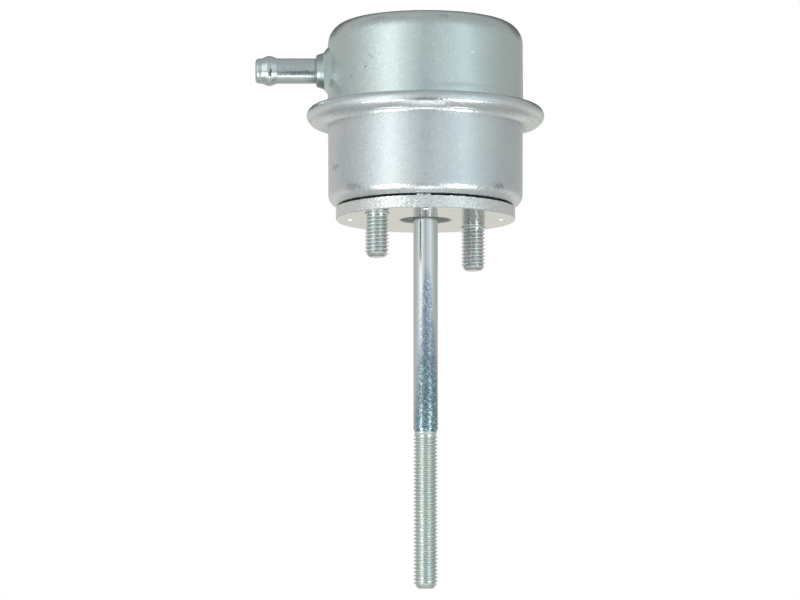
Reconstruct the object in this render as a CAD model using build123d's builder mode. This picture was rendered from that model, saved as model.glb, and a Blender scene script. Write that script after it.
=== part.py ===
# Wastegate actuator: two pressed steel cans crimped together over a rolling diaphragm, a spring-loaded
# piston and rod inside, a hose nipple in the upper can and a two-stud plate welded under the lower one.
# Millimetres. The origin is the centre of the mounting plate's lower face, where the bracket bears.
# +Z runs up through the cans, the rod leaves along -Z and the hose nipple points along -X.
import os
from math import cos, radians, sin, tan

from build123d import *

os.makedirs("parts", exist_ok=True)

# Rod: a 10 mm bar, turned down at its end to the blank that an M10 x 1.5 thread is rolled on
rod_r = 5.0
rod_reach = 150.7
thread_play = 0.075
thread_length = 61.65
rod_point = 2.5
rod_point_width = 2.525
rod_point_arc = 4.5
neck_depth = 0.49
neck_length = 2.1
shank_taper = 1.2
spigot_step = 1.0

# Pressed cans: the lower can's radius sets the upper one's, the crimp's and the plate's
sheet = 1.5
wall_draft = 0.3
lower_r = 39.85
lower_corner = 4.7
upper_oversize = 0.2
upper_corner = 8.8
upper_top_z = 81.3
upper_bend = 2.0

# Crimp: the lower can's flange sags outwards, turns up at a blunt edge and is rolled over the stack
crimp_top_z = 46.3
crimp_inside = 0.25
flange_bend = 2.6
flange_width = 0.8
sag_bend = 1.4
sag_width = 2.75
sag = 2.25
edge_width = 2.6
edge_drop = 4.35
lip_gap = 0.8
stack_gap = 0.85

# Mounting plate and its studs
plate_inset = 3.25
plate_t = 5.0
plate_edge = 0.3
plate_hole_gap = 5.35
weld_gap = 0.5
nub_r = 3.6
nub_inset = 5.7
nub_count = 4
nub_slope = 30.0
punch_r = 1.9
punch_depth = 1.0
stud_r = 4.925
stud_reach = 18.0
stud_inset = 8.2
stud_angle = 46.0
stud_point = 1.7
stud_point_width = 2.0
stud_neck_depth = 0.415
stud_neck_length = 0.6
stud_shank_lap = 0.175
stud_head_lap = 2.575
stud_head_t = 2.5
stud_relief = 0.2
stud_clearance = 0.05

# Hose nipple and its seat pressed out of the upper can
nipple_z = 61.7
nipple_length = 28.3
nipple_r = 5.2
nipple_wall = 1.7
tip_step = 0.2
tip_round = 1.4
bead_height = 0.97
bead_setback = 5.7
bead_slope = 22.0
bead_crest = 3.4
bead_blend = 1.2
seat_rise = 1.25
seat_lap = 2.8
seat_flare = 52.0
seat_round = 1.2
collar_width = 2.3
collar_taper = 1.0
collar_length = 3.1
collar_round = 0.8
braze_t = 0.35
braze_lap = 2.6
nipple_tail = 1.0
nipple_clearance = 0.05

# Piston, diaphragm and what clamps them to the rod
stroke = 15.0
stop_gap = 0.1
rivet_lap = 2.2
rivet_t = 2.2
rivet_edge = 1.0
rivet_washer_lap = 5.0
rivet_washer_t = 1.6
retainer_inset = 7.8
retainer_t = 1.5
retainer_lip = 1.6
retainer_bend = 2.0
diaphragm_t = 1.0
diaphragm_foot_z = 33.0
fold_width = 5.675
fold_flat = 0.475
fabric_gap = 0.4
piston_t = 1.5
piston_corner = 3.0
skirt_length = 37.5
skirt_gap = 0.3
spacer_lap = 9.0
spacer_t = 4.0
spacer_edge_chamfer = 1.0
sleeve_wall = 2.4
sleeve_bore_gap = 0.2
spigot_gap = 0.05

# Guide bush, dust ring, spring and its seat
guide_clearance = 0.05
bush_wall = 3.15
bush_flange_lap = 3.8
bush_flange_t = 2.0
bush_height = 17.0
bush_lead = 0.6
dust_clearance = 0.08
dust_ring_width = 1.72
dust_ring_t = 2.6
fit_gap = 0.1
spring_gap = 3.3
spring_seat_t = 1.2
spring_seat_gap = 0.8
spring_seat_lip = 3.0
spring_seat_bend = 1.6
spring_seat_step = 0.5
wire_r = 2.5
active_turns = 5.5
closed_turns = 0.85
closed_gap = 0.15
ground_share = 0.35
points_per_turn = 8

# Radii and places that follow from the sizes above
thread_r = rod_r - thread_play
neck_r = rod_r - neck_depth
rod_point_r = thread_r - rod_point_width
spigot_r = rod_r - spigot_step
upper_r = lower_r + upper_oversize
lip_r = upper_r + upper_bend + lip_gap
flange_r = lower_r + flange_bend + flange_width
sag_r = flange_r + sag_width
sag_round = sheet + crimp_inside
edge_r = sag_r + edge_width
edge_round = sheet + 2 * crimp_inside
crown_round = edge_drop - edge_round / 2
stack_r = edge_r - crown_round - stack_gap
plate_r = lower_r - plate_inset
plate_hole_r = rod_r + plate_hole_gap
nub_circle_r = plate_r - nub_inset
punch_ball_r = (punch_r**2 + punch_depth**2) / (2 * punch_depth)
stud_neck_r = stud_r - stud_neck_depth
stud_shank_r = stud_r + stud_shank_lap
stud_head_r = stud_r + stud_head_lap
stud_circle_r = plate_r - stud_inset
nipple_bore_r = nipple_r - nipple_wall
tip_r = nipple_r - tip_step
bead_r = nipple_r + bead_height
seat_r = nipple_r + seat_lap
seat_x = -upper_r - seat_rise
nipple_tip_x = seat_x - nipple_length
bead_x = nipple_tip_x + bead_setback
collar_r = nipple_r + collar_width
collar_small_r = collar_r - collar_taper
braze_r = nipple_r + braze_lap
rivet_r = spigot_r + rivet_lap
rivet_washer_r = spigot_r + rivet_washer_lap
spacer_r = spigot_r + spacer_lap
guide_r = rod_r + guide_clearance
bush_r = guide_r + bush_wall
bush_flange_r = bush_r + bush_flange_lap
floor_hole_r = bush_r + fit_gap
dust_bore_r = rod_r + dust_clearance
dust_ring_r = dust_bore_r + dust_ring_width
sleeve_bore_r = rod_r + sleeve_bore_gap
sleeve_r = sleeve_bore_r + sleeve_wall

# Heights, and what follows from them
floor_z = plate_t + weld_gap
floor_in_z = floor_z + sheet
upper_flange_z = crimp_top_z - sheet
clamp_z = upper_flange_z - sheet - diaphragm_t
flange_z = clamp_z - sheet
cap_in_z = upper_top_z - sheet
rivet_top_z = cap_in_z - stop_gap
rivet_z = rivet_top_z - rivet_t
retainer_z = rivet_z - rivet_washer_t
web_z = retainer_z - retainer_t
piston_z = web_z - diaphragm_t
piston_in_z = piston_z - piston_t
shoulder_z = piston_in_z - spacer_t
bush_low_z = floor_z + fit_gap
bush_top_z = floor_in_z + bush_flange_t + bush_height
skirt_z = piston_z - skirt_length
thread_top_z = thread_length - rod_reach
neck_top_z = thread_top_z + neck_length
sleeve_z = bush_top_z + stroke + stop_gap
spring_low_z = floor_in_z + spring_seat_t
bead_apex_r = bead_r + bead_crest * (1 / cos(radians(bead_slope)) - 1)
bead_half = (bead_apex_r - nipple_r) / tan(radians(bead_slope))
collar_x = seat_x - braze_t - collar_length
lower_draft = (flange_z - floor_z) * tan(radians(wall_draft))
seat_root_x = 2 * sheet - upper_r
pocket_r = seat_r - sheet * (1 - sin(radians(seat_flare))) / cos(radians(seat_flare))
upper_draft = (upper_top_z - crimp_top_z) * tan(radians(wall_draft))
fold_outer_r = lower_r - sheet - lower_draft - fabric_gap
fold_inner_r = fold_outer_r - fold_width
fold_round = (fold_width - fold_flat) / 2
piston_r = fold_inner_r - skirt_gap
retainer_r = piston_r - retainer_inset
spring_outer_r = piston_r - piston_t - spring_gap
coil_r = spring_outer_r - wire_r
spring_seat_r = spring_outer_r + spring_seat_gap + spring_seat_t

# Lower can: floor, wall and flange, with the flange's edge rolled over the stack above it
with BuildPart() as lower_can:
    with BuildSketch(Plane.XZ):
        with BuildLine():
            FilletPolyline(
                (floor_hole_r, floor_z),
                (lower_r - lower_draft, floor_z),
                (lower_r, flange_z),
                (flange_r, flange_z),
                (sag_r, flange_z - sag),
                (edge_r, crimp_top_z - edge_drop),
                (edge_r, crimp_top_z),
                (lip_r, crimp_top_z),
                radius=(lower_corner, flange_bend, sag_bend, sag_round, edge_round, crown_round),
            )
            offset(amount=sheet, side=Side.LEFT)
        make_face()
    revolve(axis=Axis.Z)
lower_can.part.label = "lower_can"
export_step(lower_can.part, "parts/lower_can.step")

# Upper can: a drawn cap whose wall is pushed out into a round flat seat for the nipple's collar
nipple_axis = Axis((0, 0, nipple_z), (-1, 0, 0))
nipple_plane = Plane(origin=(0, 0, nipple_z), x_dir=(1, 0, 0), z_dir=(0, -1, 0))
with BuildPart() as upper_can:
    with BuildSketch(Plane.XZ):
        with BuildLine():
            FilletPolyline(
                (0, upper_top_z),
                (upper_r - upper_draft, upper_top_z),
                (upper_r, upper_flange_z),
                (stack_r, upper_flange_z),
                radius=(upper_corner, upper_bend),
            )
            Polyline(
                (stack_r, upper_flange_z),
                (stack_r, upper_flange_z - sheet),
                (0, upper_flange_z - sheet),
                (0, upper_top_z),
            )
        make_face()
    revolve(axis=Axis.Z)
    with BuildSketch(nipple_plane):
        with BuildLine():
            Polyline(
                (seat_x, 0),
                (seat_x, seat_r),
                (seat_root_x, seat_r + (seat_root_x - seat_x) * tan(radians(seat_flare))),
                (seat_root_x, 0),
                close=True,
            )
        make_face()
    revolve(axis=nipple_axis)
    seat_root = upper_can.edges().filter_by(GeomType.BSPLINE)
    fillet(seat_root, seat_round)
    with BuildSketch(Plane.XZ):
        with BuildLine():
            FilletPolyline(
                (0, cap_in_z),
                (upper_r - upper_draft - sheet, cap_in_z),
                (upper_r - sheet, upper_flange_z - sheet),
                (stack_r, upper_flange_z - sheet),
                radius=(upper_corner - sheet, upper_bend + sheet),
            )
            Polyline(
                (stack_r, upper_flange_z - sheet),
                (stack_r, upper_flange_z - 2 * sheet),
                (0, upper_flange_z - 2 * sheet),
                (0, cap_in_z),
            )
        make_face()
    revolve(axis=Axis.Z, mode=Mode.SUBTRACT)
    with BuildSketch(nipple_plane):
        with BuildLine():
            Polyline(
                (seat_x + sheet, 0),
                (seat_x + sheet, pocket_r),
                (seat_root_x, pocket_r + (seat_root_x - seat_x - sheet) * tan(radians(seat_flare))),
                (seat_root_x, 0),
                close=True,
            )
        make_face()
    revolve(axis=nipple_axis, mode=Mode.SUBTRACT)
    with BuildSketch(Plane.YZ.offset(seat_x)):
        with Locations((0, nipple_z)):
            Circle(nipple_r + nipple_clearance)
    extrude(amount=seat_root_x - seat_x, mode=Mode.SUBTRACT)
upper_can.part.label = "upper_can"
export_step(upper_can.part, "parts/upper_can.step")

# Hose nipple: a turned tube with a rounded tip, a hose bead and a collar that meets the can
with BuildPart() as hose_nipple:
    with BuildSketch(nipple_plane):
        with BuildLine():
            FilletPolyline(
                (nipple_tip_x, nipple_bore_r),
                (nipple_tip_x, tip_r),
                (bead_x - bead_half, nipple_r),
                (bead_x, bead_apex_r),
                (bead_x + bead_half, nipple_r),
                (collar_x, nipple_r),
                radius=(tip_round, bead_blend, bead_crest, bead_blend),
            )
            Polyline(
                (collar_x, nipple_r),
                (collar_x, collar_small_r),
                (seat_x - braze_t, collar_r),
                (seat_x - braze_t, nipple_r),
                (seat_x + sheet + nipple_tail, nipple_r),
                (seat_x + sheet + nipple_tail, nipple_bore_r),
                (nipple_tip_x, nipple_bore_r),
            )
        make_face()
    revolve(axis=nipple_axis)
    collar_shoulder = hose_nipple.edges().filter_by(GeomType.CIRCLE).filter_by(
        lambda edge: abs(edge.radius - collar_small_r) < 0.01
    )
    fillet(collar_shoulder, collar_round)
hose_nipple.part.label = "hose_nipple"
export_step(hose_nipple.part, "parts/hose_nipple.step")

# Braze line between the nipple's collar and its seat
with BuildPart() as nipple_braze:
    with BuildSketch(Plane.YZ.offset(seat_x - braze_t)):
        with Locations((0, nipple_z)):
            Circle(braze_r)
            Circle(nipple_r + nipple_clearance, mode=Mode.SUBTRACT)
    extrude(amount=braze_t)
nipple_braze.part.label = "nipple_braze"
export_step(nipple_braze.part, "parts/nipple_braze.step")

# Mounting plate: projection-welded to the can's floor at four points punched up from below
with BuildPart() as mounting_plate:
    with BuildSketch(Plane.XY):
        Circle(plate_r)
        Circle(plate_hole_r, mode=Mode.SUBTRACT)
    extrude(amount=plate_t)
    chamfer(mounting_plate.edges().filter_by(GeomType.CIRCLE), plate_edge)
    with BuildSketch(Plane.XY.offset(plate_t)):
        with PolarLocations(nub_circle_r, nub_count):
            Circle(nub_r)
    extrude(amount=weld_gap, taper=nub_slope)
    with Locations((0, 0, punch_depth - punch_ball_r)):
        with PolarLocations(nub_circle_r, nub_count):
            Sphere(punch_ball_r, mode=Mode.SUBTRACT)
    with BuildSketch(Plane.XY):
        with PolarLocations(stud_circle_r, 2, start_angle=stud_angle):
            Circle(stud_shank_r + stud_clearance)
    extrude(amount=plate_t, mode=Mode.SUBTRACT)
    with BuildSketch(Plane.XY):
        with PolarLocations(stud_circle_r, 2, start_angle=stud_angle):
            Circle(stud_shank_r + stud_clearance + stud_relief)
    extrude(amount=stud_relief, taper=45, mode=Mode.SUBTRACT)
    with BuildSketch(Plane.XY.offset(plate_t - stud_head_t)):
        with PolarLocations(stud_circle_r, 2, start_angle=stud_angle):
            Circle(stud_head_r + stud_clearance)
    extrude(amount=stud_head_t, mode=Mode.SUBTRACT)
mounting_plate.part.label = "mounting_plate"
export_step(mounting_plate.part, "parts/mounting_plate.step")

# Studs: threaded up to a short neck, with a thicker shank and a head that lies flush under the can
for stud_name, angle in (("stud_front", stud_angle + 180), ("stud_rear", stud_angle)):
    stud_x = stud_circle_r * cos(radians(angle))
    stud_y = stud_circle_r * sin(radians(angle))
    with BuildPart() as stud:
        with BuildSketch(Plane(origin=(stud_x, stud_y, 0), x_dir=(1, 0, 0), z_dir=(0, -1, 0))):
            with BuildLine():
                Polyline(
                    (0, -stud_reach),
                    (stud_r - stud_point_width, -stud_reach),
                    (stud_r, stud_point - stud_reach),
                    (stud_r, 0),
                    (stud_neck_r, 0),
                    (stud_neck_r, stud_neck_length),
                    (stud_shank_r, stud_neck_length),
                    (stud_shank_r, plate_t - stud_head_t),
                    (stud_head_r, plate_t - stud_head_t),
                    (stud_head_r, plate_t),
                    (0, plate_t),
                    close=True,
                )
            make_face()
        revolve(axis=Axis((stud_x, stud_y, 0), (0, 0, 1)))
    stud.part.label = stud_name
    export_step(stud.part, f"parts/{stud_name}.step")

# Rod: plain shank, threaded end, and a spigot whose head is riveted over the piston stack
with BuildPart() as rod:
    with BuildSketch(Plane.XZ):
        with BuildLine():
            point_arc = RadiusArc(
                (rod_point_r, -rod_reach), (thread_r, rod_point - rod_reach), -rod_point_arc
            )
            Polyline(
                point_arc @ 1,
                (thread_r, thread_top_z - thread_r + neck_r),
                (neck_r, thread_top_z),
                (neck_r, neck_top_z),
                (rod_r, neck_top_z + shank_taper),
                (rod_r, shoulder_z),
                (spigot_r, shoulder_z),
                (spigot_r, rivet_z),
                (rivet_r, rivet_z),
                (rivet_r, rivet_top_z - rivet_edge),
                (rivet_r - rivet_edge, rivet_top_z),
                (0, rivet_top_z),
                (0, -rod_reach),
                point_arc @ 0,
            )
        make_face()
    revolve(axis=Axis.Z)
rod.part.label = "rod"
export_step(rod.part, "parts/rod.step")

# Piston cup: drawn sheet, open downwards over the spring
with BuildPart() as piston_cup:
    with BuildSketch(Plane.XZ):
        with BuildLine():
            FilletPolyline(
                (spigot_r + spigot_gap, piston_z),
                (piston_r, piston_z),
                (piston_r, skirt_z),
                radius=piston_corner,
            )
            offset(amount=piston_t, side=Side.RIGHT)
        make_face()
    revolve(axis=Axis.Z)
piston_cup.part.label = "piston_cup"
export_step(piston_cup.part, "parts/piston_cup.step")

# Diaphragm: from the crimp down into the rolling fold, up the piston and over its top
with BuildPart() as diaphragm:
    with BuildSketch(Plane.XZ):
        with BuildLine():
            FilletPolyline(
                (stack_r, clamp_z),
                (fold_outer_r, clamp_z),
                (fold_outer_r, diaphragm_foot_z),
                (fold_inner_r, diaphragm_foot_z),
                (fold_inner_r, piston_z),
                (spigot_r + spigot_gap, piston_z),
                radius=(flange_bend + sheet + fabric_gap, fold_round, fold_round, piston_corner + skirt_gap),
            )
            offset(amount=diaphragm_t, side=Side.RIGHT)
        make_face()
    revolve(axis=Axis.Z)
diaphragm.part.label = "diaphragm"
export_step(diaphragm.part, "parts/diaphragm.step")

# Retainer: a dished disc that holds the diaphragm on the piston, its edge turned up clear of the fabric
with BuildPart() as diaphragm_retainer:
    with BuildSketch(Plane.XZ):
        with BuildLine():
            FilletPolyline(
                (spigot_r + spigot_gap, web_z),
                (retainer_r, web_z),
                (retainer_r, web_z + retainer_t + retainer_lip),
                radius=retainer_bend,
            )
            offset(amount=retainer_t, side=Side.LEFT)
        make_face()
    revolve(axis=Axis.Z)
diaphragm_retainer.part.label = "diaphragm_retainer"
export_step(diaphragm_retainer.part, "parts/diaphragm_retainer.step")

# Washer under the riveted head
with BuildPart() as rivet_washer:
    with BuildSketch(Plane.XY.offset(retainer_z)):
        Circle(rivet_washer_r)
        Circle(spigot_r + spigot_gap, mode=Mode.SUBTRACT)
    extrude(amount=rivet_washer_t)
rivet_washer.part.label = "rivet_washer"
export_step(rivet_washer.part, "parts/rivet_washer.step")

# Spacer between the rod's shoulder and the piston
with BuildPart() as piston_spacer:
    with BuildSketch(Plane.XY.offset(shoulder_z)):
        Circle(spacer_r)
        Circle(spigot_r + spigot_gap, mode=Mode.SUBTRACT)
    extrude(amount=spacer_t)
    spacer_edge = piston_spacer.edges().group_by(Axis.Z)[0].sort_by(SortBy.LENGTH)[-1]
    chamfer(spacer_edge, spacer_edge_chamfer)
piston_spacer.part.label = "piston_spacer"
export_step(piston_spacer.part, "parts/piston_spacer.step")

# Travel sleeve: rides on the rod and meets the guide bush at full stroke
with BuildPart() as travel_sleeve:
    with BuildSketch(Plane.XY.offset(sleeve_z)):
        Circle(sleeve_r)
        Circle(sleeve_bore_r, mode=Mode.SUBTRACT)
    extrude(amount=shoulder_z - sleeve_z)
travel_sleeve.part.label = "travel_sleeve"
export_step(travel_sleeve.part, "parts/travel_sleeve.step")

# Guide bush: its flange stands on the can's floor and its nose fills the hole there
with BuildPart() as guide_bush:
    with BuildSketch(Plane.XY.offset(bush_low_z)):
        Circle(bush_r)
    extrude(amount=bush_top_z - bush_low_z)
    chamfer(guide_bush.edges().group_by(Axis.Z)[-1], bush_lead)
    with BuildSketch(Plane.XY.offset(floor_in_z)):
        Circle(bush_flange_r)
    extrude(amount=bush_flange_t)
    with BuildSketch(Plane.XY.offset(bush_low_z)):
        Circle(guide_r)
    extrude(amount=bush_top_z - bush_low_z, mode=Mode.SUBTRACT)
    with BuildSketch(Plane.XY.offset(bush_low_z)):
        Circle(dust_ring_r + fit_gap)
    extrude(amount=dust_ring_t, mode=Mode.SUBTRACT)
guide_bush.part.label = "guide_bush"
export_step(guide_bush.part, "parts/guide_bush.step")

# Dust ring in the bush's lower end, around the rod
with BuildPart() as dust_ring:
    with BuildSketch(Plane.XY.offset(bush_low_z)):
        Circle(dust_ring_r)
        Circle(dust_bore_r, mode=Mode.SUBTRACT)
    extrude(amount=dust_ring_t)
dust_ring.part.label = "dust_ring"
export_step(dust_ring.part, "parts/dust_ring.step")

# Spring seat: pressed ring that steps over the bush's flange and turns up around the spring
seat_hub_z = floor_in_z + bush_flange_t
seat_step_r = bush_flange_r + spring_seat_bend
with BuildPart() as spring_seat:
    with BuildSketch(Plane.XZ):
        with BuildLine():
            FilletPolyline(
                (bush_r + fit_gap, seat_hub_z),
                (seat_step_r, seat_hub_z),
                (seat_step_r + bush_flange_t, floor_in_z),
                (spring_seat_r, floor_in_z),
                (spring_seat_r, floor_in_z + spring_seat_lip),
                radius=(spring_seat_step, spring_seat_t + spring_seat_step, spring_seat_bend),
            )
            offset(amount=spring_seat_t, side=Side.LEFT)
        make_face()
    revolve(axis=Axis.Z)
spring_seat.part.label = "spring_seat"
export_step(spring_seat.part, "parts/spring_seat.step")


# Height of the spring's wire above its seat after a number of turns: closed coils at both ends
def coil_height(turn):
    closed_rise = closed_turns * (2 * wire_r + closed_gap)
    first = ground_share * wire_r
    active_rise = piston_in_z - spring_low_z - 2 * (first + closed_rise)
    if turn < closed_turns:
        return first + closed_rise * turn / closed_turns
    if turn < closed_turns + active_turns:
        return first + closed_rise + active_rise * (turn - closed_turns) / active_turns
    last = turn - closed_turns - active_turns
    return first + closed_rise + active_rise + closed_rise * last / closed_turns


# Return spring: closed ends, ground flat against the seat and the piston
with BuildPart() as return_spring:
    steps = round((active_turns + 2 * closed_turns) * points_per_turn)
    turns = [step / points_per_turn for step in range(steps + 1)]
    with BuildLine() as coil:
        Spline(
            [
                (
                    coil_r * cos(radians(360 * turn)),
                    coil_r * sin(radians(360 * turn)),
                    spring_low_z + coil_height(turn),
                )
                for turn in turns
            ]
        )
    with BuildSketch(Plane(origin=coil.line @ 0, z_dir=coil.line % 0)):
        Circle(wire_r)
    sweep(is_frenet=True)
    with BuildSketch(Plane.XY.offset(spring_low_z)):
        Circle(spring_outer_r + wire_r)
    extrude(amount=-2 * wire_r, mode=Mode.SUBTRACT)
    with BuildSketch(Plane.XY.offset(piston_in_z)):
        Circle(spring_outer_r + wire_r)
    extrude(amount=2 * wire_r, mode=Mode.SUBTRACT)
return_spring.part.label = "return_spring"
export_step(return_spring.part, "parts/return_spring.step")
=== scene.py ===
import math

import bmesh
import bpy
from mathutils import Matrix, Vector


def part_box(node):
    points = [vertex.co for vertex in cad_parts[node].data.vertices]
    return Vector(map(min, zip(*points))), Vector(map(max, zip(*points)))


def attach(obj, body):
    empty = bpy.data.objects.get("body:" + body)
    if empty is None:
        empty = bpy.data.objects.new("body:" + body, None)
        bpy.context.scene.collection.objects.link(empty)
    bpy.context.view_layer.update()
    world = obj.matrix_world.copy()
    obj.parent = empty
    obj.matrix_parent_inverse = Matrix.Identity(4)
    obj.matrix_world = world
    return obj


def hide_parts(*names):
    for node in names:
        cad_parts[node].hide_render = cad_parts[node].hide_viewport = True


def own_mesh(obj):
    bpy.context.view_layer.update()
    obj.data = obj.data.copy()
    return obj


# Wastegate actuator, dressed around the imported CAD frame. Metres, +Z up, the rod points down.
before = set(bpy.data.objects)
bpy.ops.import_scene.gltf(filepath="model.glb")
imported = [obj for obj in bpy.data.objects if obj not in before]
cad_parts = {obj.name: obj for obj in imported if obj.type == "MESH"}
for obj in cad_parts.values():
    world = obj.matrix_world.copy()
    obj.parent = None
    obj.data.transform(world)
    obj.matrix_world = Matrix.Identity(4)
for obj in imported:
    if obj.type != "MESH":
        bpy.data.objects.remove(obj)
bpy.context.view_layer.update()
scene = bpy.context.scene
mm = 0.001
print("frame loaded:", len(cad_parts), "nodes")

# fitted to the ellipses of the plate, the flange and the cap, in millimetres and degrees upwards;
# only the clipping distances, nearest and farthest, are in metres
cameraView = {
    "distance": 2333.7, "height": -340.35, "side": -10.4, "pitch": 7.506,
    "focalPixels": 5776, "frameWidth": 800, "sensor": 36.0, "nearest": 0.05, "farthest": 50,
}


def addCamera(name, c):
    data = bpy.data.cameras.new(name)
    data.sensor_width = c["sensor"]
    data.lens = c["focalPixels"] * data.sensor_width / c["frameWidth"]
    data.clip_start = c["nearest"]
    data.clip_end = c["farthest"]
    eye = bpy.data.objects.new(name, data)
    eye.location = (c["side"] * mm, -c["distance"] * mm, c["height"] * mm)
    eye.rotation_euler = (math.radians(90 + c["pitch"]), 0, 0)
    scene.collection.objects.link(eye)
    scene.camera = eye


addCamera("photoCamera", cameraView)
scene.view_settings.view_transform = "Standard"


def node(tree, kind, **settings):
    made = tree.nodes.new(kind)
    for key, value in settings.items():
        setattr(made, key, value)
    return made


def feed(tree, socket, value):
    # a socket takes a link or a plain value
    if isinstance(value, bpy.types.NodeSocket):
        tree.links.new(value, socket)
    elif value is not None:
        socket.default_value = value


def maths(tree, op, a, b=None, clamp=False):
    made = node(tree, "ShaderNodeMath", operation=op, use_clamp=clamp)
    for socket, value in zip(made.inputs, (a, b)):
        feed(tree, socket, value)
    return made.outputs[0]


def product(tree, first, *others):
    for other in others:
        first = maths(tree, "MULTIPLY", first, other)
    return first


def hypotenuse(tree, a, b):
    squares = maths(tree, "ADD", maths(tree, "MULTIPLY", a, a), maths(tree, "MULTIPLY", b, b))
    return maths(tree, "SQRT", squares)


def vectorMaths(tree, op, a, b=None):
    made = node(tree, "ShaderNodeVectorMath", operation=op)
    feed(tree, made.inputs[0], a)
    if b is not None:
        feed(tree, made.inputs["Scale"] if op == "SCALE" else made.inputs[1], b)
    return made.outputs["Value"] if op in ("LENGTH", "DISTANCE", "DOT_PRODUCT") else made.outputs[0]


def ramp(tree, value, stops, smooth=True):
    made = node(tree, "ShaderNodeValToRGB")
    made.color_ramp.interpolation = "EASE" if smooth else "LINEAR"
    elements = made.color_ramp.elements
    while len(elements) > 1:
        elements.remove(elements[-1])
    for i, (position, colour) in enumerate(stops):
        element = elements[0] if i == 0 else elements.new(position)
        element.position = position
        element.color = (*colour, 1)
    feed(tree, made.inputs[0], value)
    return made.outputs["Color"]


def noise(tree, vector, scale, detail=2.0, output="Fac"):
    made = node(tree, "ShaderNodeTexNoise")
    feed(tree, made.inputs["Vector"], vector)
    feed(tree, made.inputs["Scale"], scale)
    made.inputs["Detail"].default_value = detail
    return made.outputs[output]


def mapRange(tree, value, low, high, toLow=0.0, toHigh=1.0, kind="SMOOTHSTEP"):
    made = node(tree, "ShaderNodeMapRange", interpolation_type=kind)
    for socket, v in zip(made.inputs, (value, low, high, toLow, toHigh)):
        feed(tree, socket, v)
    return made.outputs[0]


def mixColour(tree, amount, a, b):
    made = node(tree, "ShaderNodeMix", data_type="RGBA")
    for socket, value in zip((made.inputs[0], made.inputs[6], made.inputs[7]), (amount, a, b)):
        feed(tree, socket, (*value, 1) if isinstance(value, tuple) else value)
    return made.outputs[2]


# the room that the metal mirrors; the camera itself sees the plain backdrop
studio = {
    "backdrop": (1.0, 1.0, 1.0),
    "gain": 1.5,
    # at wall level by compass, in degrees: 0 is straight ahead of the part, its left comes first
    "level": (
        (-180, (0.44, 0.43, 0.41)), (-137, (0.46, 0.455, 0.44)), (-112, (0.37, 0.375, 0.37)),
        (-95, (0.42, 0.425, 0.42)), (-77, (0.50, 0.52, 0.52)), (-58, (0.74, 0.79, 0.79)),
        (-43, (1.03, 1.06, 1.06)), (-31, (0.74, 0.79, 0.79)), (-18, (0.53, 0.57, 0.58)),
        (-9, (0.49, 0.53, 0.54)), (-3, (0.33, 0.36, 0.37)), (3, (0.33, 0.36, 0.37)),
        (9, (0.51, 0.54, 0.55)), (23, (0.50, 0.55, 0.56)), (36, (0.55, 0.62, 0.64)),
        (48, (0.67, 0.76, 0.79)), (62, (0.48, 0.53, 0.54)), (76, (0.43, 0.46, 0.46)),
        (95, (0.36, 0.38, 0.375)), (111, (0.34, 0.35, 0.34)), (142, (0.36, 0.36, 0.345)),
        (180, (0.44, 0.43, 0.41)),
    ),
    # the ceiling from in front (0) over the zenith (0.5) to behind (1), and the same for what lies below
    "above": ((0.25, (0.37, 0.40, 0.40)), (0.50, (0.36, 0.38, 0.38)), (1.00, (0.32, 0.33, 0.33))),
    "below": (
        (0.10, (0.40, 0.41, 0.42)), (0.45, (0.37, 0.38, 0.39)), (0.75, (0.50, 0.50, 0.46)),
        (1.00, (0.53, 0.53, 0.49)),
    ),
    # how high a direction points where the wall gives way to the ceiling, and how low for the ground
    "ceilingFrom": (0.48, 0.93),
    "groundFrom": (-0.03, -0.14),
    # behind the part and above it only this share of the light is left
    "darkBack": {"behind": (0.55, 0.86), "over": (0.14, 0.34), "left": 0.14},
    # a dark spot low in front, mirrored by faces that lean a little downwards
    "shade": {
        "toward": (0.0, -0.94, -0.36), "inner": 0.06, "outer": 0.20, "amount": 0.7,
        "colour": (0.03, 0.04, 0.05),
    },
    "floor": {
        "height": -0.80, "radius": 1.7, "segments": 96, "colour": (0.86, 0.85, 0.82), "darker": 0.97,
        "roughness": 0.85, "fibre": 9.0, "fibreFrom": (0.3, 0.7),
    },
    "softboxAim": (0, 0, 0.02),
    "softboxDistance": 0.80,
    "softboxes": (
        {"name": "softboxLeft", "azimuth": -44, "elevation": -31, "size": (0.24, 0.27), "watts": 2.7},
        {"name": "softboxRight", "azimuth": 44, "elevation": -31, "size": (0.24, 0.27), "watts": 2.1},
        {"name": "softboxLow", "azimuth": 1, "elevation": -56, "size": (0.32, 0.20), "watts": 0.46},
    ),
}


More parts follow.
